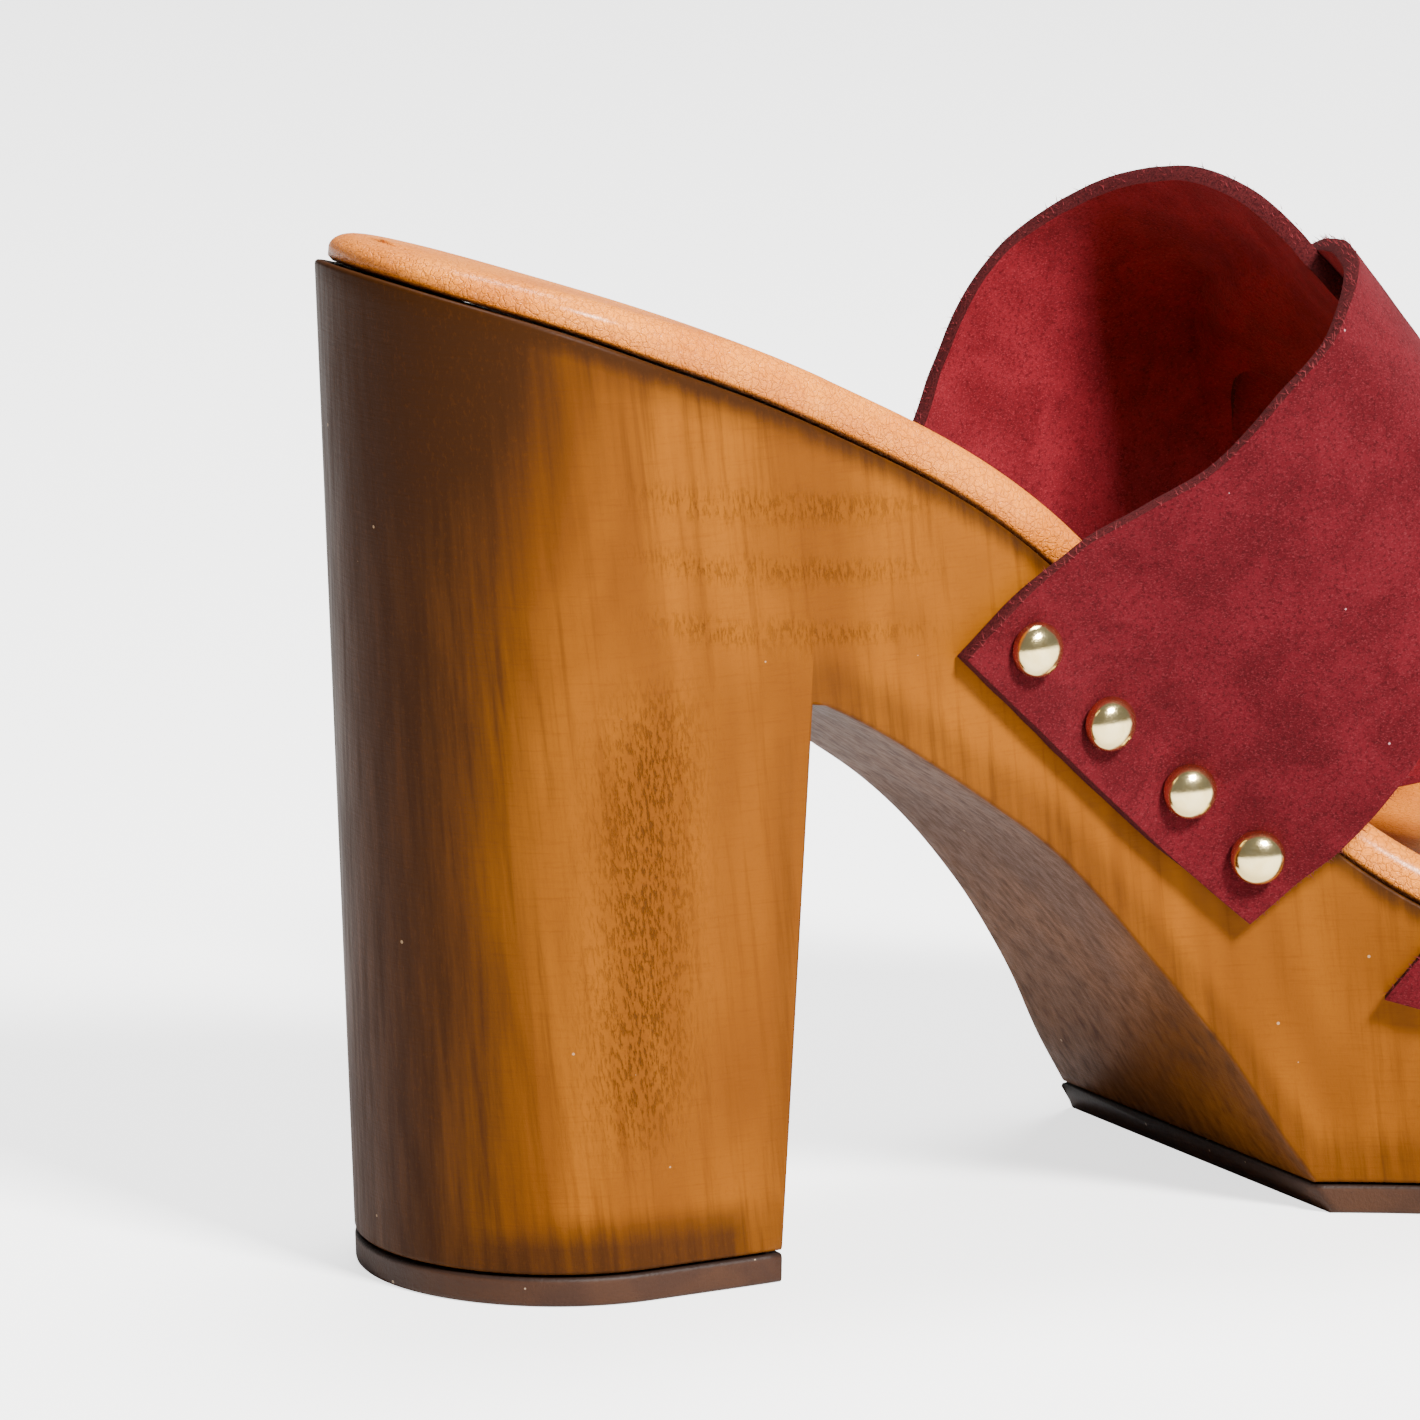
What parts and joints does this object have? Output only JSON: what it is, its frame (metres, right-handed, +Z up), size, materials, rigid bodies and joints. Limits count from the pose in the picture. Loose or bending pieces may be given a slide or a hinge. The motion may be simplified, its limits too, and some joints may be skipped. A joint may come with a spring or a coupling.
{
  "type": "heeled mule",
  "caption": "Open-toed platform mule with a high wooden block heel, a padded leather insole and wide crossed suede straps nailed to the wood.",
  "frame": {"origin": "centre of the heel's round back, on the floor under the heel", "axes": "+X towards the toe, +Y towards the outer side of the foot, +Z up"},
  "size_m": [0.2159, 0.094, 0.1158],
  "materials": {
    "wood": "stained satin lime wood",
    "tread": "matt, stained edge",
    "leather": "satin grain leather",
    "suede": "napped suede",
    "brass": "polished pale brass"
  },
  "bodies": {
    "root": {"wood_sole": "wood", "heel_lift": "tread", "outsole": "tread", "insole": "leather", "upper": "suede", "stud_near_rear_1": "brass", "stud_near_rear_2": "brass", "stud_near_rear_3": "brass", "stud_near_rear_4": "brass", "stud_far_rear_1": "brass", "stud_far_rear_2": "brass", "stud_far_rear_3": "brass", "stud_far_rear_4": "brass", "stud_near_front_1": "brass", "stud_near_front_2": "brass", "stud_near_front_3": "brass", "stud_near_front_4": "brass", "stud_far_front_1": "brass", "stud_far_front_2": "brass", "stud_far_front_3": "brass", "stud_far_front_4": "brass"}
  },
  "joints": []
}
